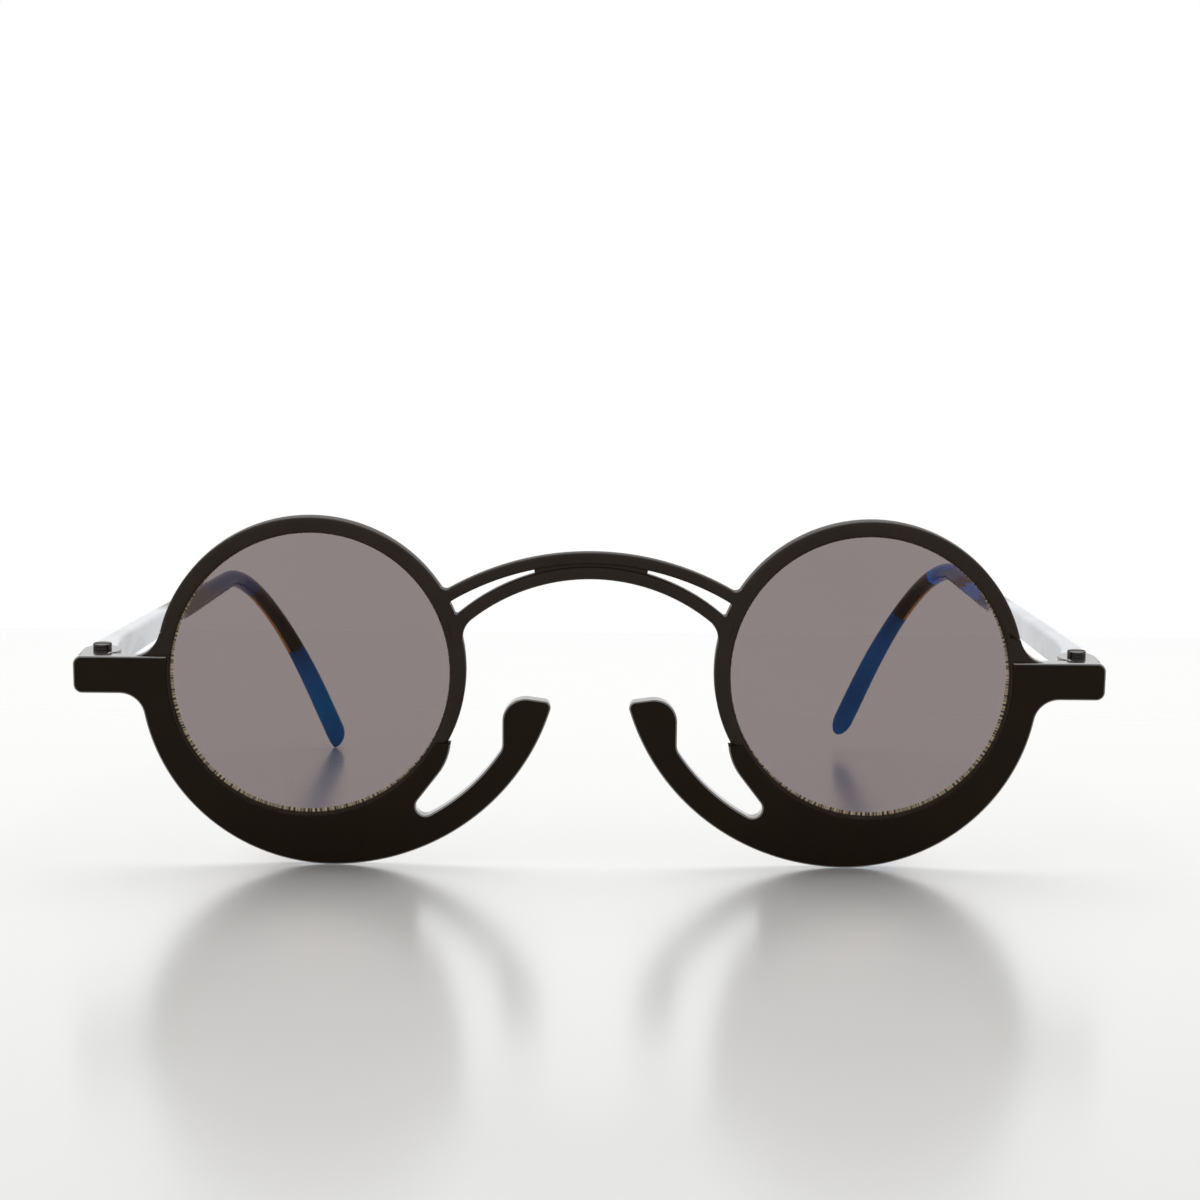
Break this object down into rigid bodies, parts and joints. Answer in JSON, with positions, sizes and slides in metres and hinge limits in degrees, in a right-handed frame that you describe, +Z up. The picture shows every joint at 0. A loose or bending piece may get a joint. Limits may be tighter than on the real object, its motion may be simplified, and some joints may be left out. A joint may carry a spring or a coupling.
{
  "type": "round sunglasses",
  "caption": "Round sunglasses with a crescent plate under each lens, a slotted double bridge, curved nose arms and folding patchwork acetate temples.",
  "frame": {"origin": "middle of the footprint of the open glasses, on the surface they stand on", "axes": "+X to the wearer's left seen from the front (right in the picture), +Y back along the temples, +Z up"},
  "size_m": [0.1318, 0.127, 0.0453],
  "materials": {
    "front_frame": "satin black moulded plastic",
    "left_lens": "polished, smoke tint",
    "right_lens": "polished, smoke tint",
    "left_hinge_insert": "turned",
    "right_hinge_insert": "turned",
    "left_hinge_screw": "turned",
    "right_hinge_screw": "turned",
    "left_temple_arm": "polished acetate",
    "left_temple_black_block": "polished acetate",
    "left_temple_blue_tip": "polished acetate",
    "left_temple_core": "drawn wire",
    "right_temple_arm": "polished acetate",
    "right_temple_blue_stripe": "polished acetate",
    "right_temple_black_block": "polished acetate",
    "right_temple_navy_tip": "polished acetate",
    "right_temple_core": "drawn wire"
  },
  "bodies": {
    "front": {"front_frame": "front_frame", "left_lens": "left_lens", "right_lens": "right_lens", "left_hinge_insert": "left_hinge_insert", "right_hinge_insert": "right_hinge_insert", "left_hinge_screw": "left_hinge_screw", "right_hinge_screw": "right_hinge_screw"},
    "left_temple": {"left_temple_arm": "left_temple_arm", "left_temple_black_block": "left_temple_black_block", "left_temple_blue_tip": "left_temple_blue_tip", "left_temple_core": "left_temple_core"},
    "right_temple": {"right_temple_arm": "right_temple_arm", "right_temple_blue_stripe": "right_temple_blue_stripe", "right_temple_black_block": "right_temple_black_block", "right_temple_navy_tip": "right_temple_navy_tip", "right_temple_core": "right_temple_core"}
  },
  "joints": [
    {"name": "left_hinge", "type": "hinge", "parent": "front", "child": "left_temple", "pos_m": [-0.0628, -0.057, 0.02527], "axis": [0, -0.1306, 0.9914], "range_deg": [-82, 0]},
    {"name": "right_hinge", "type": "hinge", "parent": "front", "child": "right_temple", "pos_m": [0.0628, -0.057, 0.02527], "axis": [0, -0.1306, 0.9914], "range_deg": [0, 75]}
  ]
}
